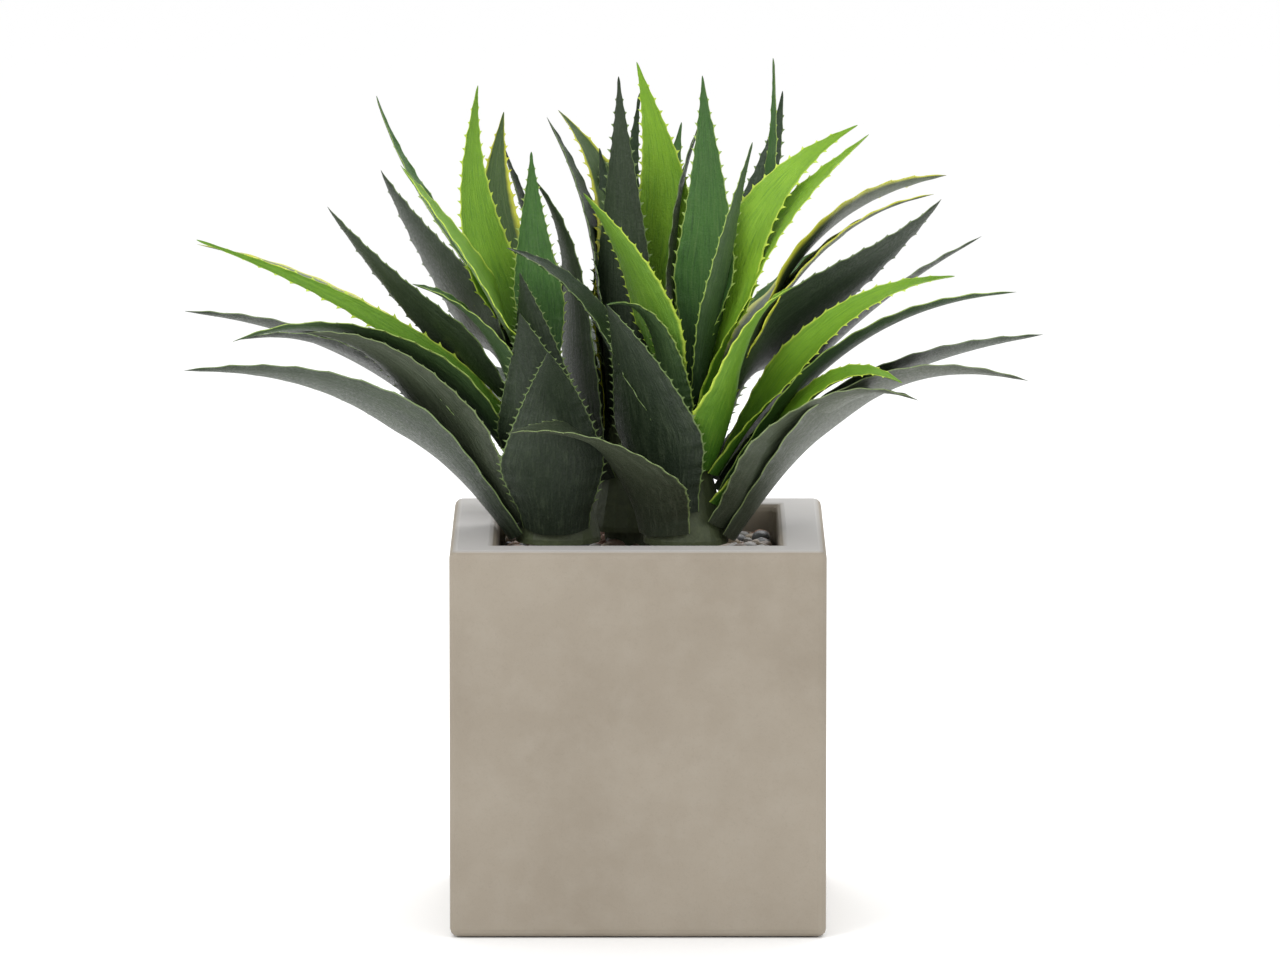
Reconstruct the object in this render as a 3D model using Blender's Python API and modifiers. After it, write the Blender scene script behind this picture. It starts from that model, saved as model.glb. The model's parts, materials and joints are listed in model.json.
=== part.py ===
"""Potted aloe: three rosettes of toothed leaves in a square stone-grey planter.

Metres, +Z up. The origin is the centre of the planter's underside and the
front of the planter faces -Y.
"""
import math

import bmesh
import bpy
from mathutils import Matrix, Quaternion, Vector

MM = 0.001
COLLECTION = "potted_aloe"
CUTTERS = "potted_aloe_cutters"

POT_WIDTH = 0.210
POT_HEIGHT = 0.218
POT_WALL = 0.026
POT_FLOOR = 0.022
POT_ROUND = 0.0045
GAP = 0.0004

SOIL_DROP = 0.028
SOCKET_DEPTH = 0.032
BED_THICK = 0.012
BED_BUMP = 0.0018
BED_CELLS = 18

PLUG_RADIUS = 0.013
HUB_RADIUS = 0.0240
HUB_LOW = -0.0080
HUB_HIGH = 0.082
HUB_STEPS = 20

LEAF_LOW = -0.0060
LEAF_HIGH = 0.080
LEAF_OUTER = 0.0265
LEAF_INNER = 0.0050
LEAF_HANDLE = 0.38
LEAF_THICK = 0.0018
LEAF_SECTION = (
    (-1.0, 0.0),
    (-0.5, 0.0),
    (0.0, 0.0),
    (0.5, 0.0),
    (1.0, 0.0),
    (0.5, 0.8),
    (0.0, 1.0),
    (-0.5, 0.8),
)
LEAF_STOPS = (0.0, 0.08, 0.18, 0.28, 0.39, 0.50, 0.61, 0.72, 0.82, 0.90, 0.96)

# Crown centres over the planter's middle, in millimetres.
CROWNS = {
    "left": (-45, -8),
    "right": (27, -14),
    "back": (-6, 42),
}

# Leaves of each crown from the lowest to the innermost. Tip x, y and height
# over the rim, then width, in millimetres; rise at the base, rise at the tip,
# sideways turn of the tip and roll, in degrees; and the colouring.
LEAVES = {
    "left": (
        (-256, -20, 90, 48, 50, 5, 0, 20, "dark"),
        (-50, -90, 110, 50, 72, 40, 0, 15, "dark"),
        (-186, -40, 114, 42, 45, 5, -10, 25, "dark"),
        (-258, 40, 116, 36, 52, 5, 0, 20, "dark"),
        (-66, -75, 130, 46, 70, 50, 0, 0, "dark"),
        (-226, 5, 104, 34, 48, -20, 0, 15, "dark"),
        (-228, -35, 108, 30, 64, -20, 0, 20, "green"),
        (-252, 75, 150, 28, 57, 0, 0, 10, "edged"),
        (-250, 15, 160, 24, 62, 12, 0, -45, "lime"),
        (-126, -75, 146, 40, 74, 15, 0, -20, "green"),
        (-66, -55, 150, 34, 66, 60, 0, 0, "dark"),
        (-176, 32, 177, 34, 72, 30, 0, 40, "dark"),
        (-146, 48, 196, 36, 66, 54, 5, 50, "dark"),
        (-133, -48, 210, 34, 76, 50, 0, -25, "lime"),
        (-76, 60, 228, 28, 76, 74, 0, 0, "edged"),
        (-148, 35, 240, 16, 82, 60, 0, 0, "green"),
        (-90, 15, 248, 20, 82, 76, 0, -20, "lime"),
        (-60, 0, 212, 20, 88, 80, 0, -40, "green"),
    ),
    "right": (
        (220, -20, 84, 48, 48, 0, 0, -15, "dark"),
        (-74, -90, 64, 62, 80, -10, -40, 0, "dark"),
        (157, -65, 79, 44, 48, -15, 0, -10, "dark"),
        (230, 30, 104, 40, 55, 5, 0, -20, "dark"),
        (-18, -80, 136, 50, 78, 50, 0, 0, "dark"),
        (148, -60, 88, 32, 45, -25, 0, 20, "lime"),
        (214, 0, 132, 34, 58, 5, 0, -15, "green"),
        (-74, -55, 164, 40, 78, 20, 0, -30, "dark"),
        (196, 65, 156, 32, 51, 20, 0, -25, "dark"),
        (178, -40, 146, 28, 58, 5, 0, 35, "lime"),
        (86, -90, 146, 38, 60, 20, 0, 30, "lime"),
        (172, 35, 181, 32, 76, 50, 0, -40, "dark"),
        (-18, -50, 131, 36, 82, -10, 0, 0, "green"),
        (176, 70, 190, 34, 60, 20, 0, -30, "edged"),
        (168, 30, 184, 24, 66, 5, 0, -15, "edged"),
        (130, -20, 224, 38, 72, 50, 0, 28, "lime"),
        (124, -10, 228, 20, 72, 35, 0, 45, "lime"),
        (-31, -30, 192, 32, 82, 50, 0, 30, "lime"),
        (82, 60, 240, 24, 84, 75, 0, 0, "dark"),
        (64, -40, 222, 14, 76, 72, 0, 0, "green"),
        (76, 20, 263, 12, 74, 72, 0, 0, "green"),
        (36, -8, 256, 20, 90, 85, 0, 20, "green"),
    ),
    "back": (
        (-120, 150, 80, 46, 50, 5, 0, 0, "dark"),
        (90, 175, 90, 46, 50, 5, 0, 0, "dark"),
        (-20, 200, 110, 44, 55, 10, 0, 0, "dark"),
        (120, 130, 150, 34, 60, 25, 0, 0, "green"),
        (-60, 15, 196, 38, 62, 50, 0, 0, "dark"),
        (25, 115, 216, 36, 70, 65, 0, 0, "green"),
        (-78, 75, 210, 30, 75, 70, 0, 0, "dark"),
        (40, 40, 234, 34, 75, 65, 0, 0, "dark"),
        (-46, 85, 226, 32, 72, 50, 0, 0, "edged"),
        (1, 85, 236, 28, 78, 80, 0, 0, "dark"),
        (-52, 50, 226, 30, 82, 64, 0, 0, "dark"),
        (-22, 70, 206, 30, 84, 74, 0, 0, "dark"),
        (-11, 25, 252, 28, 86, 84, 0, 0, "dark"),
        (-1, 55, 257, 26, 88, 80, 0, 0, "lime"),
    ),
}

LEAF_COLOURS = {
    "dark": (0.030, 0.050, 0.030, 1.0),
    "green": (0.050, 0.120, 0.040, 1.0),
    "lime": (0.200, 0.420, 0.040, 1.0),
    "edged": (0.130, 0.160, 0.040, 1.0),
}


def clear_scene():
    for old in list(bpy.data.objects):
        bpy.data.objects.remove(old, do_unlink=True)


def make_collection(name):
    group = bpy.data.collections.new(name)
    bpy.context.scene.collection.children.link(group)
    return group


def material(name, colour, roughness):
    made = bpy.data.materials.new(name)
    made.use_nodes = True
    shader = made.node_tree.nodes["Principled BSDF"]
    shader.inputs["Base Color"].default_value = colour
    shader.inputs["Roughness"].default_value = roughness
    shader.inputs["Metallic"].default_value = 0.0
    made.diffuse_color = colour
    return made


def mesh_object(name, bm, group):
    bmesh.ops.recalc_face_normals(bm, faces=bm.faces)
    if bm.calc_volume(signed=True) < 0.0:
        bmesh.ops.reverse_faces(bm, faces=bm.faces)
    mesh = bpy.data.meshes.new(name)
    bm.to_mesh(mesh)
    bm.free()
    made = bpy.data.objects.new(name, mesh)
    group.objects.link(made)
    return made


def block(name, size, middle, group):
    bm = bmesh.new()
    bmesh.ops.create_cube(bm, size=1.0)
    bmesh.ops.scale(bm, vec=size, verts=bm.verts)
    made = mesh_object(name, bm, group)
    made.location = middle
    return made


def as_cutter(made):
    made.hide_render = True
    made.display_type = "WIRE"
    return made


def cut(target, cutter):
    taken = target.modifiers.new("cut_" + cutter.name, "BOOLEAN")
    taken.operation = "DIFFERENCE"
    taken.solver = "EXACT"
    taken.object = cutter


def round_edges(target, radius, segments):
    bevel = target.modifiers.new("rounded", "BEVEL")
    bevel.width = radius
    bevel.segments = segments
    bevel.limit_method = "ANGLE"
    bevel.angle_limit = math.radians(40.0)


def pot(group, cutters):
    size = (POT_WIDTH, POT_WIDTH, POT_HEIGHT)
    made = block("pot", size, (0.0, 0.0, POT_HEIGHT / 2.0), group)
    hollow = POT_WIDTH - 2.0 * POT_WALL
    deep = POT_HEIGHT - POT_FLOOR
    middle = (0.0, 0.0, POT_FLOOR + deep)
    space = block("pot_hollow", (hollow, hollow, 2.0 * deep), middle, cutters)
    cut(made, as_cutter(space))
    round_edges(made, POT_ROUND, 3)
    made.data.materials.append(material("pot_stone", (0.36, 0.31, 0.25, 1.0), 0.75))
    return made


def socket_cutters(cutters, name, radius, low, high):
    made = []
    for crown, (x, y) in CROWNS.items():
        bm = bmesh.new()
        bmesh.ops.create_cone(
            bm, cap_ends=True, segments=HUB_STEPS,
            radius1=radius, radius2=radius, depth=high - low)
        socket = mesh_object(name + "_" + crown, bm, cutters)
        socket.location = (x * MM, y * MM, (high + low) / 2.0)
        made.append(as_cutter(socket))
    return made


def soil(group, cutters):
    side = POT_WIDTH - 2.0 * POT_WALL - 2.0 * GAP
    top = POT_HEIGHT - SOIL_DROP
    bottom = POT_FLOOR + GAP
    made = block("soil", (side, side, top - bottom), (0.0, 0.0, (top + bottom) / 2.0), group)
    round_edges(made, POT_ROUND, 2)
    for socket in socket_cutters(
            cutters, "soil_socket", PLUG_RADIUS + GAP, top - SOCKET_DEPTH, top + 0.01):
        cut(made, socket)
    made.data.materials.append(material("soil_dark", (0.030, 0.022, 0.016, 1.0), 0.95))
    return made


def bed_bump(x, y):
    wave = math.sin(x * 410.0 + 1.3) * math.cos(y * 370.0 - 0.4)
    wave += 0.6 * math.sin(x * 690.0 - y * 520.0)
    return BED_BUMP * wave / 1.6


def pebble_bed(group, cutters):
    side = POT_WIDTH - 2.0 * POT_WALL - 2.0 * GAP - 0.003
    low = POT_HEIGHT - SOIL_DROP + GAP
    high = low + BED_THICK
    bm = bmesh.new()
    bmesh.ops.create_grid(bm, x_segments=BED_CELLS, y_segments=BED_CELLS, size=side / 2.0)
    top = list(bm.faces)
    raised = bmesh.ops.extrude_face_region(bm, geom=top)
    lifted = [item for item in raised["geom"] if isinstance(item, bmesh.types.BMVert)]
    for vert in lifted:
        vert.co.z = high - low + bed_bump(vert.co.x, vert.co.y)
    made = mesh_object("pebble_bed", bm, group)
    made.location = (0.0, 0.0, low)
    for socket in socket_cutters(
            cutters, "bed_socket", PLUG_RADIUS + GAP, low - 0.01, high + 0.01):
        cut(made, socket)
    made.data.materials.append(material("pebbles_mixed", (0.20, 0.15, 0.12, 1.0), 0.6))
    return made


def hub(group, crown):
    x, y = CROWNS[crown]
    low = POT_HEIGHT + HUB_LOW
    high = POT_HEIGHT + HUB_HIGH
    foot = POT_HEIGHT - SOIL_DROP - SOCKET_DEPTH + GAP
    profile = (
        (0.0, high),
        (0.0016, high - 0.0010),
        (0.0030, high - 0.0060),
        (HUB_RADIUS, low + 0.0030),
        (HUB_RADIUS, low),
        (PLUG_RADIUS, low - 0.0010),
        (PLUG_RADIUS, foot + 0.0020),
        (PLUG_RADIUS - 0.0020, foot),
        (0.0, foot),
    )
    bm = bmesh.new()
    line = [bm.verts.new((r, 0.0, z)) for r, z in profile]
    for upper, lower in zip(line, line[1:]):
        bm.edges.new((upper, lower))
    mesh = bpy.data.meshes.new("crown_" + crown)
    bm.to_mesh(mesh)
    bm.free()
    made = bpy.data.objects.new("crown_" + crown, mesh)
    group.objects.link(made)
    made.location = (x * MM, y * MM, 0.0)
    turned = made.modifiers.new("turned", "SCREW")
    turned.axis = "Z"
    turned.angle = math.tau
    turned.steps = HUB_STEPS
    turned.render_steps = HUB_STEPS
    turned.use_merge_vertices = True
    turned.merge_threshold = 0.00005
    turned.use_normal_calculate = True
    mesh.materials.append(material("crown_green", (0.050, 0.070, 0.035, 1.0), 0.7))
    return made


def lean(flat, rise):
    return flat * math.cos(rise) + Vector((0.0, 0.0, math.sin(rise)))


def leaf_width(stop):
    swell = 0.70 + 0.30 * min(1.0, stop / 0.26)
    return swell * (1.0 - stop ** 1.30) / 0.84


def leaf_wrap(stop, base):
    late = min(1.0, stop / 0.45)
    return base + (math.radians(62.0) - base) * late


def bezier(points, stop):
    rest = 1.0 - stop
    a, b, c, d = points
    place = a * rest ** 3 + b * (3.0 * stop * rest ** 2)
    place += c * (3.0 * stop ** 2 * rest) + d * stop ** 3
    along = (b - a) * rest ** 2 + (c - b) * (2.0 * stop * rest) + (d - c) * stop ** 2
    return place, along.normalized()


def leaf_curve(row, crown, share):
    """The four control points of the spine, from the base to the tip."""
    x, y, height, width, lift, fall, swing, roll, kind = row
    centre = Vector((crown[0] * MM, crown[1] * MM, 0.0))
    tip = Vector((x * MM, y * MM, POT_HEIGHT + height * MM))
    flat = Vector((tip.x - centre.x, tip.y - centre.y, 0.0)).normalized()
    radius = LEAF_OUTER + (LEAF_INNER - LEAF_OUTER) * share
    level = POT_HEIGHT + LEAF_LOW + (LEAF_HIGH - LEAF_LOW) * share
    base = centre + flat * radius + Vector((0.0, 0.0, level))
    turned = Matrix.Rotation(math.radians(swing), 3, "Z") @ flat
    handle = (tip - base).length * LEAF_HANDLE
    first = lean(flat, math.radians(lift))
    last = lean(turned, math.radians(fall))
    inward = lean(-flat, math.radians(90.0 - lift))
    return (base, base + first * handle, tip - last * handle, tip), inward, radius


def leaf_rings(row, crown, share):
    points, inward, radius = leaf_curve(row, crown, share)
    width = row[3] * MM
    roll = math.radians(row[7])
    base_wrap = min(2.1, max(1.2, width * leaf_width(0.0) / radius))
    rings = []
    for stop in LEAF_STOPS:
        place, along = bezier(points, stop)
        inward = (inward - along * inward.dot(along)).normalized()
        tilt = Quaternion(along, roll * min(1.0, stop / 0.4))
        up = tilt @ inward
        side = along.cross(up)
        half = leaf_wrap(stop, base_wrap) / 2.0
        bend = width * leaf_width(stop) / (2.0 * half)
        thick = LEAF_THICK * (1.0 - 0.65 * stop)
        ring = []
        for turn, depth in LEAF_SECTION:
            reach = bend + thick * depth
            sideways = reach * math.sin(half * turn)
            upward = bend - reach * math.cos(half * turn)
            ring.append(place + side * sideways + up * upward)
        rings.append(ring)
    return rings, points[3]


def leaf(group, name, row, crown, share):
    rings, tip = leaf_rings(row, crown, share)
    bm = bmesh.new()
    loops = [[bm.verts.new(spot) for spot in ring] for ring in rings]
    count = len(LEAF_SECTION)
    for lower, upper in zip(loops, loops[1:]):
        for i in range(count):
            j = (i + 1) % count
            bm.faces.new((lower[i], lower[j], upper[j]))
            bm.faces.new((lower[i], upper[j], upper[i]))
    point = bm.verts.new(tip)
    for i in range(count):
        bm.faces.new((loops[-1][i], loops[-1][(i + 1) % count], point))
    end = loops[0]
    bm.faces.new((end[0], end[1], end[7]))
    bm.faces.new((end[1], end[2], end[6], end[7]))
    bm.faces.new((end[2], end[3], end[5], end[6]))
    bm.faces.new((end[3], end[4], end[5]))
    made = mesh_object(name, bm, group)
    kind = row[8]
    made.data.materials.append(material("leaf_" + kind, LEAF_COLOURS[kind], 0.45))
    return made


def build():
    clear_scene()
    group = make_collection(COLLECTION)
    cutters = make_collection(CUTTERS)
    pot(group, cutters)
    soil(group, cutters)
    pebble_bed(group, cutters)
    for crown, centre in CROWNS.items():
        hub(group, crown)
        rows = LEAVES[crown]
        for order, row in enumerate(rows):
            name = "leaf_%s_%02d" % (crown, order + 1)
            leaf(group, name, row, centre, order / (len(rows) - 1.0))


build()
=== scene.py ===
"""Looks of the potted aloe: detailed leaf blades, loose pebbles and finishes.

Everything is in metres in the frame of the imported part: +Z up, the origin
under the middle of the planter, the planter's front towards -Y.
"""
import json
import math
import random

import bmesh
import bpy
from mathutils import Euler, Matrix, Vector


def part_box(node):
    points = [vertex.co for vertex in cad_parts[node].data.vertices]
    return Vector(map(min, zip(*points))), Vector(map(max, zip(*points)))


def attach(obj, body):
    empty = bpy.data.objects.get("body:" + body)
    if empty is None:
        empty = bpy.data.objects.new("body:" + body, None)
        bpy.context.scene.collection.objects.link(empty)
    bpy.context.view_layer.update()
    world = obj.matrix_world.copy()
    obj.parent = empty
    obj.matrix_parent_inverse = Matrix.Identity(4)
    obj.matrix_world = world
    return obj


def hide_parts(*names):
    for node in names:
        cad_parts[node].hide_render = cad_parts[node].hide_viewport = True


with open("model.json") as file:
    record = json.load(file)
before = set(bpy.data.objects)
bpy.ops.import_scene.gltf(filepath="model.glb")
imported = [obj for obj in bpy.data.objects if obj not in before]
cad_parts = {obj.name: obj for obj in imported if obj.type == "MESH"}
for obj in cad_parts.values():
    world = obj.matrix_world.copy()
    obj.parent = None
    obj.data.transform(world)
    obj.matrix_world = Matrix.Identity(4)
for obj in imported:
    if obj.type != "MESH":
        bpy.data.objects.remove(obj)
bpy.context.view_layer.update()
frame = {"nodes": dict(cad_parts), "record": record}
nodes = frame["nodes"]
slots = {part["node"]: part["material_slot"] for part in frame["record"]["subparts"]}

MM = 0.001

# Leaf blade template: cells across and along, and which cells of its side walls
# carry a tooth (one in so many, over this stretch of the length). The flat blade
# reaches 1 to each side and its teeth reach 2, so a tooth's point is past the mark.
ACROSS = 10
ALONG = 96
TOOTH_EVERY = 4
TOOTH_FROM = 0.10
TOOTH_TO = 0.95
TOOTH_MARK = 1.5

# Teeth: how far they stand out and lean forwards, the blade width at which they
# are full size, and how much smaller they are at the tip.
TOOTH_LONG = 2.7 * MM
TOOTH_HOOK = 1.7 * MM
TOOTH_FULL_WIDE = 12.0 * MM
TOOTH_LESS = 0.35

# Margin: half of its roll, its scallops and its ripples, and the blade width and
# share of the length at which they are full size.
RIM_HALF = 0.22 * MM
SCALLOP = 0.55 * MM
RIPPLE = 0.35 * MM
RIM_FULL_WIDE = 9.0 * MM
RIM_FULL_SHARE = 0.08

# Breadth: how much broader than its CAD solid a blade grows, from which share of
# the length and over how much of it, and the least width up to the tip's last part.
BROADER = 0.40
BROAD_FROM = 0.08
BROAD_OVER = 0.28
TIP_WIDE = 2.0 * MM
TIP_PART = 0.02
BLADE_END = 0.995
NUDGE = 0.01

# How single leaves sit: bowed sideways and upwards over their middle (mm), and
# how much broader than the solid they grow instead of BROADER.
STANCE = {
    "leaf_left_01": (0, 8, 1.0), "leaf_left_03": (0, 2, 0.7), "leaf_left_04": (0, 2, 1.5),
    "leaf_left_06": (0, -7, 1.6), "leaf_left_07": (0, 1, 1.0), "leaf_left_08": (0, -9, 1.4),
    "leaf_left_09": (0, -9, -0.1), "leaf_left_12": (-14, -14, 1.0), "leaf_left_13": (-7, 0, 1.5),
    "leaf_left_14": (-2, 0, 1.3), "leaf_left_15": (-16, 0, 1.0), "leaf_left_16": (-10, -3, 0.9),
    "leaf_left_17": (-20, 0, 1.4), "leaf_left_18": (-6, 0, 0.9),
    "leaf_right_01": (0, 15, 1.5), "leaf_right_03": (0, 4, 0.9), "leaf_right_04": (0, -1, 1.6),
    "leaf_right_06": (0, 3, 0.5), "leaf_right_07": (0, 3, 1.2), "leaf_right_09": (0, -4, 1.2),
    "leaf_right_12": (-1, 2, 2.4), "leaf_right_13": (5, 0, -0.1), "leaf_right_14": (0, 19, 1.8),
    "leaf_right_15": (0, -2, 2.2), "leaf_right_16": (-10, 5, 0.4), "leaf_right_17": (-8, 6, 1.7),
    "leaf_right_19": (4, 0, 1.1), "leaf_right_20": (0, 0, 1.2), "leaf_right_21": (17, 0, 0.9),
    "leaf_right_22": (8, 0, 1.6), "leaf_back_09": (14, 6, 0.9), "leaf_back_10": (-5, 0, 0.0),
    "leaf_back_11": (4, 0, 1.3), "leaf_back_14": (20, 0, 1.1),
}

# Dark leaves whose underside gets a paler grey-green copy of the dark skin, as painted sheen.
PAINTED_SHEEN_LEAVES = ("leaf_right_02", "leaf_right_03", "leaf_left_03", "leaf_right_01")

# Pebbles: size range, form, dents, spacing, clearance to the wall and tilt.
STONE_SMALL = 3.6 * MM
STONE_LARGE = 6.8 * MM
STONE_FORM = (1.0, 0.82, 0.66)
STONE_DENT = 0.07
STONE_STEP = 9.5 * MM
STONE_CLEAR = 0.6 * MM
STONE_TILT = 0.5

# Pebble layers: how many, how deep the first lies, the rise of the next, how
# unevenly they lie, and what share of the places above the first are taken.
STONE_LAYERS = 2
LAYER_DEEP = 5.5 * MM
LAYER_RISE = 1.5 * MM
LAYER_UNEVEN = 1.0
UPPER_SHARE = 0.75

# Camera: height over the horizon, lens, distance and where it looks.
EYE_RISE = math.radians(8.2)
EYE_LENS = 320.0
EYE_SENSOR = 36.0
EYE_FAR = 6.42
EYE_AIM = (0.0011, 0.0, 0.2430)


# ---------------------------------------------------------------- shading


class Flow:
    """One output socket, on which sums and products add their own nodes."""

    def __init__(self, recipe, socket):
        self.recipe = recipe
        self.socket = socket

    def maths(self, operation, *values):
        made = self.recipe.node("ShaderNodeMath", {"operation": operation}, dict(enumerate(values)))
        return made.out(0)

    def __add__(self, other):
        return self.maths("ADD", self, other)

    __radd__ = __add__

    def __sub__(self, other):
        return self.maths("SUBTRACT", self, other)

    def __rsub__(self, other):
        return self.maths("SUBTRACT", other, self)

    def __mul__(self, other):
        return self.maths("MULTIPLY", self, other)

    __rmul__ = __mul__

    def __abs__(self):
        return self.maths("ABSOLUTE", self)

    def between(self, low, high):
        """0 at low, 1 at high and straight between, held at the ends."""
        span = {"From Min": low, "From Max": high, "Value": self}
        return self.recipe.node("ShaderNodeMapRange", {"clamp": True}, span).out(0)


class Step:
    """One node of a recipe."""

    def __init__(self, recipe, made):
        self.recipe = recipe
        self.made = made

    def out(self, which):
        return Flow(self.recipe, self.made.outputs[which])


class Recipe:
    """A material with one Principled shader, built from named steps."""

    def __init__(self, name, **fixed):
        self.material = bpy.data.materials.new(name)
        self.material.use_nodes = True
        self.tree = self.material.node_tree
        self.shader = self.tree.nodes["Principled BSDF"]
        for socket, value in fixed.items():
            self.shader.inputs[socket.replace("_", " ")].default_value = value

    def feed(self, socket, value):
        if isinstance(value, Flow):
            self.tree.links.new(value.socket, socket)
        else:
            socket.default_value = value

    def node(self, kind, settings=None, values=None):
        made = self.tree.nodes.new(kind)
        for key, value in (settings or {}).items():
            setattr(made, key, value)
        for key, value in (values or {}).items():
            self.feed(made.inputs[key], value)
        return Step(self, made)

    def mix(self, factor, first, second, blend="MIX"):
        settings = {"data_type": "RGBA", "blend_type": blend}
        return self.node("ShaderNodeMix", settings, {0: factor, 6: first, 7: second}).out(2)

    def object_place(self):
        return self.node("ShaderNodeTexCoord").out("Object")

    def noise(self, place, scale, detail=3.0, rough=0.5):
        values = {"Vector": place, "Scale": scale, "Detail": detail, "Roughness": rough}
        return self.node("ShaderNodeTexNoise", {}, values).out("Fac")

    def set(self, socket, value):
        self.feed(self.shader.inputs[socket], value)

    def bump(self, height, strength, distance):
        values = {"Height": height, "Strength": strength, "Distance": distance}
        self.set("Normal", self.node("ShaderNodeBump", {}, values).out("Normal"))


def stone_finish():
    """Warm grey cast planter: soft mottling, fine grain and a painted highlight that makes the top
    of the rim paler.
    """
    made = Recipe("cast_stone", Roughness=0.62, Specular_IOR_Level=0.35)
    place = made.object_place()
    cloud = made.noise(place, 9.0, 4.0, 0.55)
    mottle = made.noise(place, 60.0, 5.0, 0.6)
    grain = made.noise(place, 900.0, 3.0, 0.6)
    base = made.mix(cloud.between(0.3, 0.7), (0.250, 0.214, 0.166, 1.0), (0.298, 0.260, 0.207, 1.0))
    base = made.mix(mottle.between(0.42, 0.75) * 0.35, base, (0.335, 0.300, 0.248, 1.0))
    base = made.mix(grain.between(0.55, 0.8) * 0.22, base, (0.165, 0.140, 0.110, 1.0))
    height = made.node("ShaderNodeSeparateXYZ", {}, {0: place}).out("Z")
    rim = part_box("pot")[1][2]
    # Painted highlight: the top of the rim is mixed towards a pale grey, as if lit from above.
    painted_rim_light = height.between(rim - 1.2 * MM, rim - 0.1 * MM)
    base = made.mix(painted_rim_light * 0.75, base, (0.53, 0.52, 0.52, 1.0))
    made.set("Base Color", base)
    made.set("Roughness", 0.55 + mottle * 0.2)
    made.bump(mottle * 0.6 + grain * 0.4, 0.35, 0.0006)
    return made.material


def soil_finish():
    """Dark crumbly growing medium."""
    made = Recipe("growing_medium", Roughness=0.95)
    place = made.object_place()
    crumb = made.noise(place, 320.0, 6.0, 0.7)
    made.set("Base Color", made.mix(crumb, (0.012, 0.008, 0.006, 1.0), (0.060, 0.042, 0.028, 1.0)))
    made.bump(crumb, 1.0, 0.002)
    return made.material


def crown_finish():
    """Dull green of the hub that the leaves are fixed to."""
    made = Recipe("leaf_crown", Roughness=0.6)
    place = made.object_place()
    rings = made.noise(place, 240.0, 4.0, 0.6)
    made.set("Base Color", made.mix(rings, (0.020, 0.030, 0.012, 1.0), (0.075, 0.095, 0.035, 1.0)))
    made.bump(rings, 0.6, 0.001)
    return made.material


def pebble_finish(name, dark, light):
    """Smooth river stone, patched between two shades and flecked."""
    made = Recipe(name, Roughness=0.5)
    place = made.object_place()
    patch = made.noise(place, 130.0, 4.0, 0.6)
    fleck = made.noise(place, 1400.0, 2.0, 0.6)
    base = made.mix(patch.between(0.3, 0.7), dark, light)
    base = made.mix(fleck.between(0.6, 0.75) * 0.4, base, (0.50, 0.46, 0.42, 1.0))
    made.set("Base Color", base)
    made.set("Roughness", 0.38 + patch * 0.3)
    made.bump(fleck, 0.25, 0.0004)
    return made.material


def leaf_finish(name, outer, inner, deep, streak, edge, edge_wide, sheen):
    """Leaf skin: fibres along the blade, a waxy speckle, a pale margin and a darker base that is
    partly painted shade.
    """
    made = Recipe(name, Coat_Roughness=0.28, Coat_IOR=1.45, Specular_IOR_Level=0.45)
    blade = made.node("ShaderNodeUVMap", {"uv_map": "blade"})
    split = made.node("ShaderNodeSeparateXYZ", {}, {0: blade.out(0)})
    across = abs(split.out("X") - 0.5) * 2.0
    along = split.out("Y")
    side = made.node("ShaderNodeAttribute", {"attribute_name": "outer_side"}).out("Fac")
    tone = made.node("ShaderNodeAttribute", {"attribute_name": "tone"}).out("Fac")
    lanes = {"X": split.out("X") * 30.0, "Y": along * 9.0, "Z": tone * 40.0}
    lane = made.node("ShaderNodeCombineXYZ", {}, lanes).out(0)
    fibre = made.noise(lane, 1.0, 5.0, 0.7)
    place = made.object_place()
    patch = made.noise(place, 38.0, 3.0, 0.6)
    speck = made.noise(place, 650.0, 3.0, 0.7)
    skin = made.mix(side, inner, outer)
    # Darker towards the base: partly the leaf's own darker base, partly painted shade deep in the
    # crown.
    skin = made.mix((0.45 - along).between(0.0, 0.40) * 0.85, skin, deep)
    skin = made.mix(tone * 0.6, skin, deep)
    skin = made.mix(fibre.between(0.5, 0.72) * 0.34, skin, streak)
    skin = made.mix(fibre.between(0.48, 0.32) * 0.55, skin, deep)
    skin = made.mix(patch.between(0.35, 0.7) * 0.25, skin, deep)
    margin = across.between(1.0 - edge_wide, 1.0 - edge_wide * 0.25)
    made.set("Base Color", made.mix(margin, skin, edge))
    made.set("Roughness", 0.34 + fibre * 0.24 + speck * 0.14)
    made.set("Coat Weight", speck.between(0.45, 0.7) * sheen)
    made.bump(fibre * 0.65 + speck * 0.35, 0.85, 0.0014)
    return made.material


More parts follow.
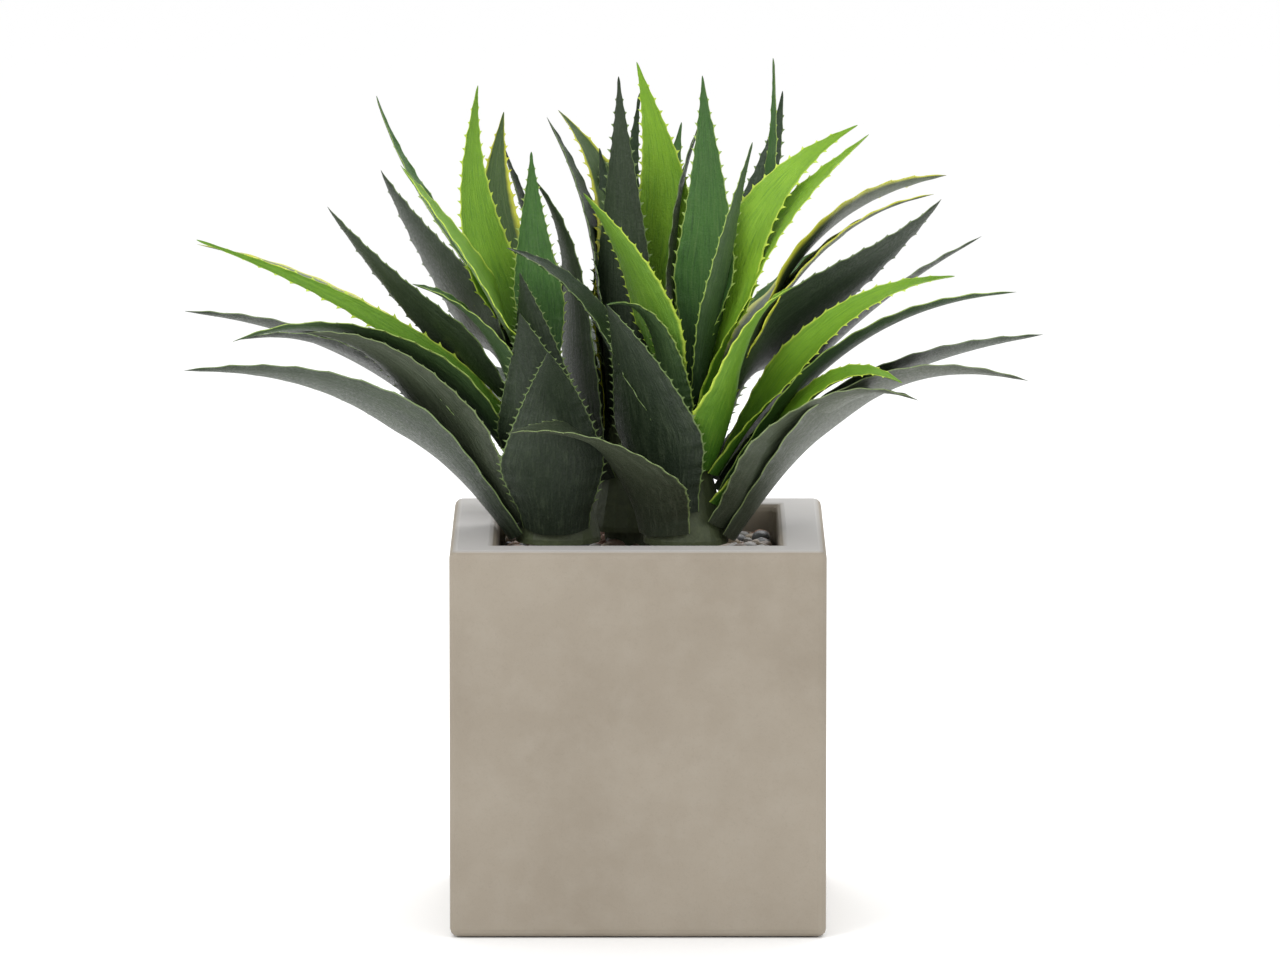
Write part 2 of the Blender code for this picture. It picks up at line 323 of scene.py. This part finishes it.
def leaf_finishes():
    """One leaf skin for each kind of leaf, and a paler copy of the dark skin as painted sheen."""
    return {
        "leaf_dark": leaf_finish(
            "leaf_skin_dark", (0.027, 0.047, 0.018, 1.0), (0.014, 0.044, 0.009, 1.0),
            (0.006, 0.014, 0.005, 1.0), (0.095, 0.125, 0.068, 1.0), (0.15, 0.22, 0.07, 1.0),
            0.030, 0.55),
        # Paler copy of the dark skin: painted sheen on dark leaves that face down into shade.
        "leaf_dark_painted_sheen": leaf_finish(
            "leaf_skin_dark_painted_sheen", (0.078, 0.098, 0.054, 1.0), (0.056, 0.080, 0.038, 1.0),
            (0.022, 0.032, 0.016, 1.0), (0.150, 0.165, 0.115, 1.0), (0.18, 0.24, 0.09, 1.0),
            0.030, 0.50),
        "leaf_green": leaf_finish(
            "leaf_skin_green", (0.056, 0.110, 0.032, 1.0), (0.052, 0.160, 0.020, 1.0),
            (0.012, 0.040, 0.010, 1.0), (0.160, 0.240, 0.080, 1.0), (0.30, 0.42, 0.09, 1.0),
            0.045, 0.40),
        "leaf_lime": leaf_finish(
            "leaf_skin_lime", (0.190, 0.360, 0.022, 1.0), (0.230, 0.450, 0.016, 1.0),
            (0.045, 0.160, 0.010, 1.0), (0.360, 0.560, 0.060, 1.0), (0.50, 0.66, 0.07, 1.0),
            0.10, 0.30),
        "leaf_edged": leaf_finish(
            "leaf_skin_edged", (0.080, 0.115, 0.045, 1.0), (0.070, 0.140, 0.024, 1.0),
            (0.020, 0.045, 0.012, 1.0), (0.200, 0.260, 0.090, 1.0), (0.60, 0.62, 0.05, 1.0),
            0.30, 0.35),
    }


# ---------------------------------------------------------------- modelling


def choose(bm, wanted):
    """Selects only the faces that wanted says yes to."""
    for face in bm.faces:
        face.select_set(False)
    for vert in bm.verts:
        vert.select_set(False)
    for face in bm.faces:
        if wanted(face):
            face.select_set(True)


def in_edit(wanted):
    """The same on the mesh that is being edited."""
    mesh = bpy.context.object.data
    bm = bmesh.from_edit_mesh(mesh)
    choose(bm, wanted)
    bmesh.update_edit_mesh(mesh)


def tooth_cell(face):
    """Whether a face of the blade's side wall carries a tooth."""
    middle = face.calc_center_median()
    share = (middle.y + 1.0) / 2.0
    cell = int(share * ALONG)
    return TOOTH_FROM < share < TOOTH_TO and cell % TOOTH_EVERY == 0


def blade_template():
    """A flat toothed blade, 2 across and 2 along, from which every leaf is laid."""
    bpy.ops.object.select_all(action="DESELECT")
    bpy.ops.mesh.primitive_grid_add(x_subdivisions=ACROSS, y_subdivisions=ALONG, size=2.0)
    made = bpy.context.object
    bpy.ops.object.mode_set(mode="EDIT")
    bpy.ops.mesh.select_mode(type="FACE")
    bpy.ops.mesh.select_all(action="SELECT")
    bpy.ops.mesh.extrude_region_move(TRANSFORM_OT_translate={"value": (0.0, 0.0, 1.0)})
    for hand in (-1.0, 1.0):
        in_edit(lambda face: face.normal.x * hand > 0.9 and tooth_cell(face))
        bpy.ops.mesh.extrude_region_move(TRANSFORM_OT_translate={"value": (hand, 0.0, 0.0)})
        bpy.ops.mesh.merge(type="COLLAPSE")
    bpy.ops.object.mode_set(mode="OBJECT")
    return made


def merged_copy(node):
    """The node's mesh with its doubled vertices joined."""
    bm = bmesh.new()
    bm.from_mesh(node.data)
    bmesh.ops.remove_doubles(bm, verts=bm.verts, dist=1e-6)
    bm.verts.index_update()
    return bm


def ring_walk(first):
    """The first ring's vertices in order round it, from the one of lowest index."""
    ring = [min(first, key=lambda vert: vert.index)]
    while len(ring) < len(first):
        near = [edge.other_vert(ring[-1]) for edge in ring[-1].link_edges]
        near.sort(key=lambda vert: vert.index)
        ring.append(next(vert for vert in near if vert in first and vert not in ring))
    return ring


def next_ring(ring, level):
    """Orders the next ring so that each vertex follows the one above it."""
    count = len(ring)
    orders = []
    for shift in (0, 1):
        order = [None] * count
        for vert in level:
            above = {ring.index(edge.other_vert(vert)) for edge in vert.link_edges
                     if edge.other_vert(vert) in ring}
            low = next(i for i in above if (i + 1) % count in above)
            order[(low + shift) % count] = vert
        far = sum((a.co - b.co).length for a, b in zip(ring, order))
        orders.append((far, order))
    return min(orders, key=lambda pair: pair[0])[1]


def blade_sections(node):
    """Upper and lower points of the CAD leaf at each section, base first, and its tip."""
    bm = merged_copy(node)
    tip = max(bm.verts, key=lambda vert: len(vert.link_edges))
    seen = {tip}
    level = {edge.other_vert(tip) for edge in tip.link_edges}
    rings = [ring_walk(level)]
    while True:
        seen |= level
        level = {edge.other_vert(vert) for vert in level for edge in vert.link_edges} - seen
        if not level:
            break
        rings.append(next_ring(rings[-1], level))
    rings.reverse()
    spots = [[vert.co.copy() for vert in ring] for ring in rings]
    point = tip.co.copy()
    bm.free()
    start = max(range(4), key=lambda i: sum((ring[i] - ring[i + 4]).length for ring in spots))

    def hollow(turn):
        return sum((ring[(start + turn) % 8] - (ring[start] + ring[start + 4]) / 2.0).length
                   for ring in spots)

    way = 1 if hollow(2) < hollow(6) else -1
    upper = [[ring[(start + way * i) % 8] for i in range(5)] for ring in spots]
    lower = [[ring[(start - way * i) % 8] for i in range(5)] for ring in spots]
    return upper, lower, point


def smooth_point(a, b, c, d, t):
    """A point between b and c on the smooth curve through all four."""
    return 0.5 * (2.0 * b + (c - a) * t + (2.0 * a - 5.0 * b + 4.0 * c - d) * t * t
                  + (3.0 * b - a - 3.0 * c + d) * t ** 3)


def along_curve(points, place):
    """The smooth curve's point at place, counted in points from the first."""
    last = len(points) - 1
    i = min(int(place), last - 1)
    before = points[i - 1] if i > 0 else 2.0 * points[0] - points[1]
    after = points[i + 2] if i + 2 <= last else 2.0 * points[last] - points[last - 1]
    return smooth_point(before, points[i], points[i + 1], after, place - i)


class Blade:
    """The smooth surface of one leaf, read off its CAD solid."""

    def __init__(self, node, stance):
        upper, lower, tip = blade_sections(node)
        self.bow = Vector((stance[0], 0.0, stance[1])) * MM
        self.broader = stance[2]
        self.upper = upper + [[tip] * 5]
        self.lower = lower + [[tip] * 5]
        mids = [row[2] for row in self.upper]
        self.lengths = [0.0]
        for a, b in zip(mids, mids[1:]):
            self.lengths.append(self.lengths[-1] + (b - a).length)
        self.rows = {}

    def station(self, share):
        """How many sections from the base lie before this share of the length."""
        want = share * self.lengths[-1]
        i = 0
        while i < len(self.lengths) - 2 and want > self.lengths[i + 1]:
            i += 1
        return i + (want - self.lengths[i]) / (self.lengths[i + 1] - self.lengths[i])

    def row(self, share):
        """Five upper and five lower points across the leaf at this share."""
        key = round(share, 4)
        if key not in self.rows:
            place = self.station(share)
            upper = [along_curve([ring[i] for ring in self.upper], place) for i in range(5)]
            lower = [along_curve([ring[i] for ring in self.lower], place) for i in range(5)]
            push = self.bow * math.sin(math.pi * share)
            self.rows[key] = ([point + push for point in upper], [point + push for point in lower])
        return self.rows[key]

    def ahead(self, share):
        """The direction towards the tip."""
        after = self.row(min(1.0, share + NUDGE))[0][2]
        before = self.row(max(0.0, share - NUDGE))[0][2]
        return (after - before).normalized()

    def spread(self, share, wide):
        """How many times broader than its CAD solid the blade is at this share."""
        grown = max(0.0, min(1.0, (share - BROAD_FROM) / BROAD_OVER))
        least = TIP_WIDE * min(1.0, (1.0 - share) / TIP_PART)
        return max(1.0 + self.broader * grown, least / wide)

    def spot(self, across, share, top):
        """Where a point of the flat blade lies on the leaf."""
        upper, lower = self.row(share)
        inside = max(-1.0, min(1.0, across))
        here = along_curve(upper if top else lower, (inside + 1.0) * 2.0)
        side = upper[4] - upper[0]
        wide = side.length
        if wide < 1e-6:
            return here
        side.normalize()
        ahead = self.ahead(share)
        grown = self.spread(share, wide)
        here = here + side * ((here - upper[2]).dot(side) * (grown - 1.0))
        wide *= grown
        face = side.cross(ahead)
        if face.dot(upper[2] - lower[2]) < 0.0:
            face = -face
        hand = 1.0 if across > 0.0 else -1.0
        full = min(1.0, wide / RIM_FULL_WIDE) * min(1.0, share / RIM_FULL_SHARE)
        lift, dip = margin(share, hand, top)
        here = here + (face * lift - side * (hand * dip)) * (abs(inside) ** 4 * full)
        if abs(across) > TOOTH_MARK:
            grow = min(1.0, wide / TOOTH_FULL_WIDE) * (1.0 - TOOTH_LESS * share)
            here = here + side * (hand * TOOTH_LONG * grow) + ahead * (TOOTH_HOOK * grow)
        return here


def margin(share, hand, top):
    """How far the full-size margin lifts off the blade and dips in between teeth."""
    beat = share * ALONG / TOOTH_EVERY * math.tau - math.tau / (2.0 * TOOTH_EVERY)
    lift = RIM_HALF * (1.0 if top else -1.0) + RIPPLE * math.sin(beat * 0.5 + hand)
    dip = SCALLOP * (0.5 - 0.5 * math.cos(beat))
    return lift, dip


def add_blade_facts(mesh, facts, tone):
    """The blade's own map, which side a face is on, and the leaf's tone."""
    layer = mesh.uv_layers.new(name="blade")
    for loop in mesh.loops:
        across, share, _ = facts[loop.vertex_index]
        layer.data[loop.index].uv = (0.5 + across / 2.0, share)
    outer = mesh.attributes.new("outer_side", "FLOAT", "POINT")
    shade = mesh.attributes.new("tone", "FLOAT", "POINT")
    for i, (_, _, top) in enumerate(facts):
        outer.data[i].value = 0.0 if top else 1.0
        shade.data[i].value = tone


def signed_volume(mesh):
    """Volume inside the mesh being edited, below zero when it is inside out."""
    return bmesh.from_edit_mesh(mesh).calc_volume(signed=True)


def lay_leaf(template, name, tone, finish):
    """Lays a copy of the flat blade on the CAD leaf's surface."""
    blade = Blade(nodes[name], STANCE.get(name, (0, 0, BROADER)))
    made = template.copy()
    made.data = template.data.copy()
    made.name = "aloe_" + name
    bpy.context.collection.objects.link(made)
    facts = []
    for vert in made.data.vertices:
        across, far, height = vert.co
        share = max(0.0, min(1.0, (far + 1.0) / 2.0)) * BLADE_END
        top = height > 0.5 or abs(across) > TOOTH_MARK
        facts.append((max(-1.0, min(1.0, across)), share, top))
        vert.co = blade.spot(across, share, height > 0.5)
    add_blade_facts(made.data, facts, tone)
    for face in made.data.polygons:
        face.use_smooth = True
    bpy.ops.object.select_all(action="DESELECT")
    made.select_set(True)
    bpy.context.view_layer.objects.active = made
    bpy.ops.object.mode_set(mode="EDIT")
    bpy.ops.mesh.select_all(action="SELECT")
    bpy.ops.mesh.normals_make_consistent(inside=False)
    if signed_volume(made.data) < 0.0:
        bpy.ops.mesh.flip_normals()
    bpy.ops.object.mode_set(mode="OBJECT")
    bpy.ops.object.shade_smooth_by_angle(angle=math.radians(50.0))
    made.data.materials.clear()
    made.data.materials.append(finish)
    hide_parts(name)
    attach(made, "root")
    return made


def all_leaves():
    """Lays every leaf, each with its own tone."""
    template = blade_template()
    finishes = leaf_finishes()
    chance = random.Random(4)
    for name in sorted(slots):
        if name.startswith("leaf_"):
            # Some dark leaves take the paler copy of the dark skin as painted sheen.
            kind = "leaf_dark_painted_sheen" if name in PAINTED_SHEEN_LEAVES else slots[name]
            lay_leaf(template, name, chance.random(), finishes[kind])
    bpy.data.objects.remove(template, do_unlink=True)


def stone_shape(name):
    """One river pebble: a ball of few faces, flattened and dented."""
    bpy.ops.object.select_all(action="DESELECT")
    bpy.ops.mesh.primitive_ico_sphere_add(subdivisions=2, radius=1.0)
    made = bpy.context.object
    made.name = name
    bpy.ops.object.mode_set(mode="EDIT")
    bpy.ops.mesh.select_all(action="SELECT")
    bpy.ops.transform.resize(value=STONE_FORM)
    bpy.ops.object.mode_set(mode="OBJECT")
    chance = random.Random(11)
    for vert in made.data.vertices:
        vert.co *= 1.0 + chance.uniform(-STONE_DENT, STONE_DENT)
    return made


def bed_places():
    """Where pebbles lie: shuffled cells over the opening, in layers."""
    low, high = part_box("pebble_bed")
    chance = random.Random(7)
    places = []
    steps = int((high[0] - low[0]) / STONE_STEP)
    for layer in range(STONE_LAYERS):
        level = high[2] - LAYER_DEEP + layer * LAYER_RISE
        for i in range(steps + 1):
            for j in range(steps + 1):
                size = chance.uniform(STONE_SMALL, STONE_LARGE)
                room = size + STONE_CLEAR
                x = low[0] + (i + 0.5 * (layer % 2) + chance.uniform(0.1, 0.9)) * STONE_STEP
                y = low[1] + (j + 0.5 * (layer % 2) + chance.uniform(0.1, 0.9)) * STONE_STEP
                x = max(low[0] + room, min(high[0] - room, x))
                y = max(low[1] + room, min(high[1] - room, y))
                turn = Euler([chance.uniform(-STONE_TILT, STONE_TILT),
                              chance.uniform(-STONE_TILT, STONE_TILT),
                              chance.uniform(0.0, math.tau)])
                z = level + chance.uniform(-LAYER_UNEVEN, LAYER_UNEVEN) * MM
                if layer == 0 or chance.random() < UPPER_SHARE:
                    places.append((Vector((x, y, z)), turn, size))
    return places


def pebbles():
    """Heaps of loose stones, one heap for each shade."""
    stone = stone_shape("pebble_shape")
    shades = {
        "pebbles_rose": ((0.24, 0.125, 0.085, 1.0), (0.46, 0.29, 0.21, 1.0)),
        "pebbles_tan": ((0.23, 0.17, 0.11, 1.0), (0.45, 0.37, 0.28, 1.0)),
        "pebbles_slate": ((0.045, 0.047, 0.050, 1.0), (0.13, 0.135, 0.14, 1.0)),
        "pebbles_brown": ((0.09, 0.055, 0.035, 1.0), (0.22, 0.15, 0.10, 1.0)),
        "pebbles_grey": ((0.20, 0.19, 0.18, 1.0), (0.48, 0.46, 0.43, 1.0)),
    }
    chance = random.Random(23)
    heaps = {name: bmesh.new() for name in shades}
    for place, turn, size in bed_places():
        heap = heaps[chance.choice(sorted(shades))]
        before = len(heap.verts)
        heap.from_mesh(stone.data)
        heap.verts.ensure_lookup_table()
        spin = turn.to_matrix()
        for vert in heap.verts[before:]:
            vert.co = place + spin @ (vert.co * size)
    for name, heap in heaps.items():
        mesh = bpy.data.meshes.new(name)
        heap.to_mesh(mesh)
        heap.free()
        for face in mesh.polygons:
            face.use_smooth = True
        made = bpy.data.objects.new(name, mesh)
        bpy.context.collection.objects.link(made)
        mesh.materials.append(pebble_finish(name + "_finish", *shades[name]))
        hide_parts("pebble_bed")
        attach(made, "root")
    bpy.data.objects.remove(stone, do_unlink=True)


def repaint(name, finish):
    """Gives a CAD node a finish and leaves its mesh alone."""
    mesh = nodes[name].data
    for i in range(len(mesh.materials)):
        mesh.materials[i] = finish
    if not mesh.materials:
        mesh.materials.append(finish)


# ---------------------------------------------------------------- studio


def floor():
    """Plain white paper under the planter."""
    bpy.ops.object.select_all(action="DESELECT")
    bpy.ops.mesh.primitive_plane_add(size=60.0, location=(0.0, 0.0, -0.0005))
    made = bpy.context.object
    made.name = "studio_floor"
    paper = Recipe("studio_paper", Roughness=0.9, Specular_IOR_Level=0.1)
    paper.set("Base Color", (0.96, 0.96, 0.96, 1.0))
    made.data.materials.append(paper.material)


def lamp(name, place, aim, size, power, colour=(1.0, 1.0, 1.0)):
    light = bpy.data.lights.new(name, "AREA")
    light.shape = "RECTANGLE"
    light.size = size[0]
    light.size_y = size[1]
    light.energy = power
    light.color = colour
    made = bpy.data.objects.new(name, light)
    bpy.context.collection.objects.link(made)
    made.location = place
    made.rotation_euler = (Vector(aim) - Vector(place)).to_track_quat("-Z", "Y").to_euler()


def studio():
    """White surroundings and three soft lamps."""
    world = bpy.data.worlds.new("studio_white")
    bpy.context.scene.world = world
    world.use_nodes = True
    world.node_tree.nodes["Background"].inputs["Color"].default_value = (1.0, 1.0, 1.0, 1.0)
    world.node_tree.nodes["Background"].inputs["Strength"].default_value = 1.03
    lamp("key", (-1.3, -1.5, 1.9), (0.0, 0.0, 0.3), (1.2, 1.2), 22.0)
    lamp("fill", (1.8, -1.6, 0.9), (0.0, 0.0, 0.2), (1.4, 1.4), 8.0)
    lamp("back", (0.3, 1.5, 1.6), (0.0, 0.0, 0.35), (1.8, 0.9), 22.0)


def camera():
    eye = bpy.data.objects.new("camera", bpy.data.cameras.new("camera"))
    bpy.context.collection.objects.link(eye)
    eye.data.lens = EYE_LENS
    eye.data.sensor_width = EYE_SENSOR
    eye.data.clip_end = 200.0
    toward = Vector((0.0, -math.cos(EYE_RISE), math.sin(EYE_RISE)))
    eye.location = Vector(EYE_AIM) + toward * EYE_FAR
    eye.rotation_euler = (-toward).to_track_quat("-Z", "Y").to_euler()
    bpy.context.scene.camera = eye


camera()
studio()
floor()
repaint("pot", stone_finish())
repaint("soil", soil_finish())
crown_paint = crown_finish()
for crown in ("crown_left", "crown_right", "crown_back"):
    repaint(crown, crown_paint)
pebbles()
all_leaves()
bpy.context.scene.view_settings.view_transform = "Standard"
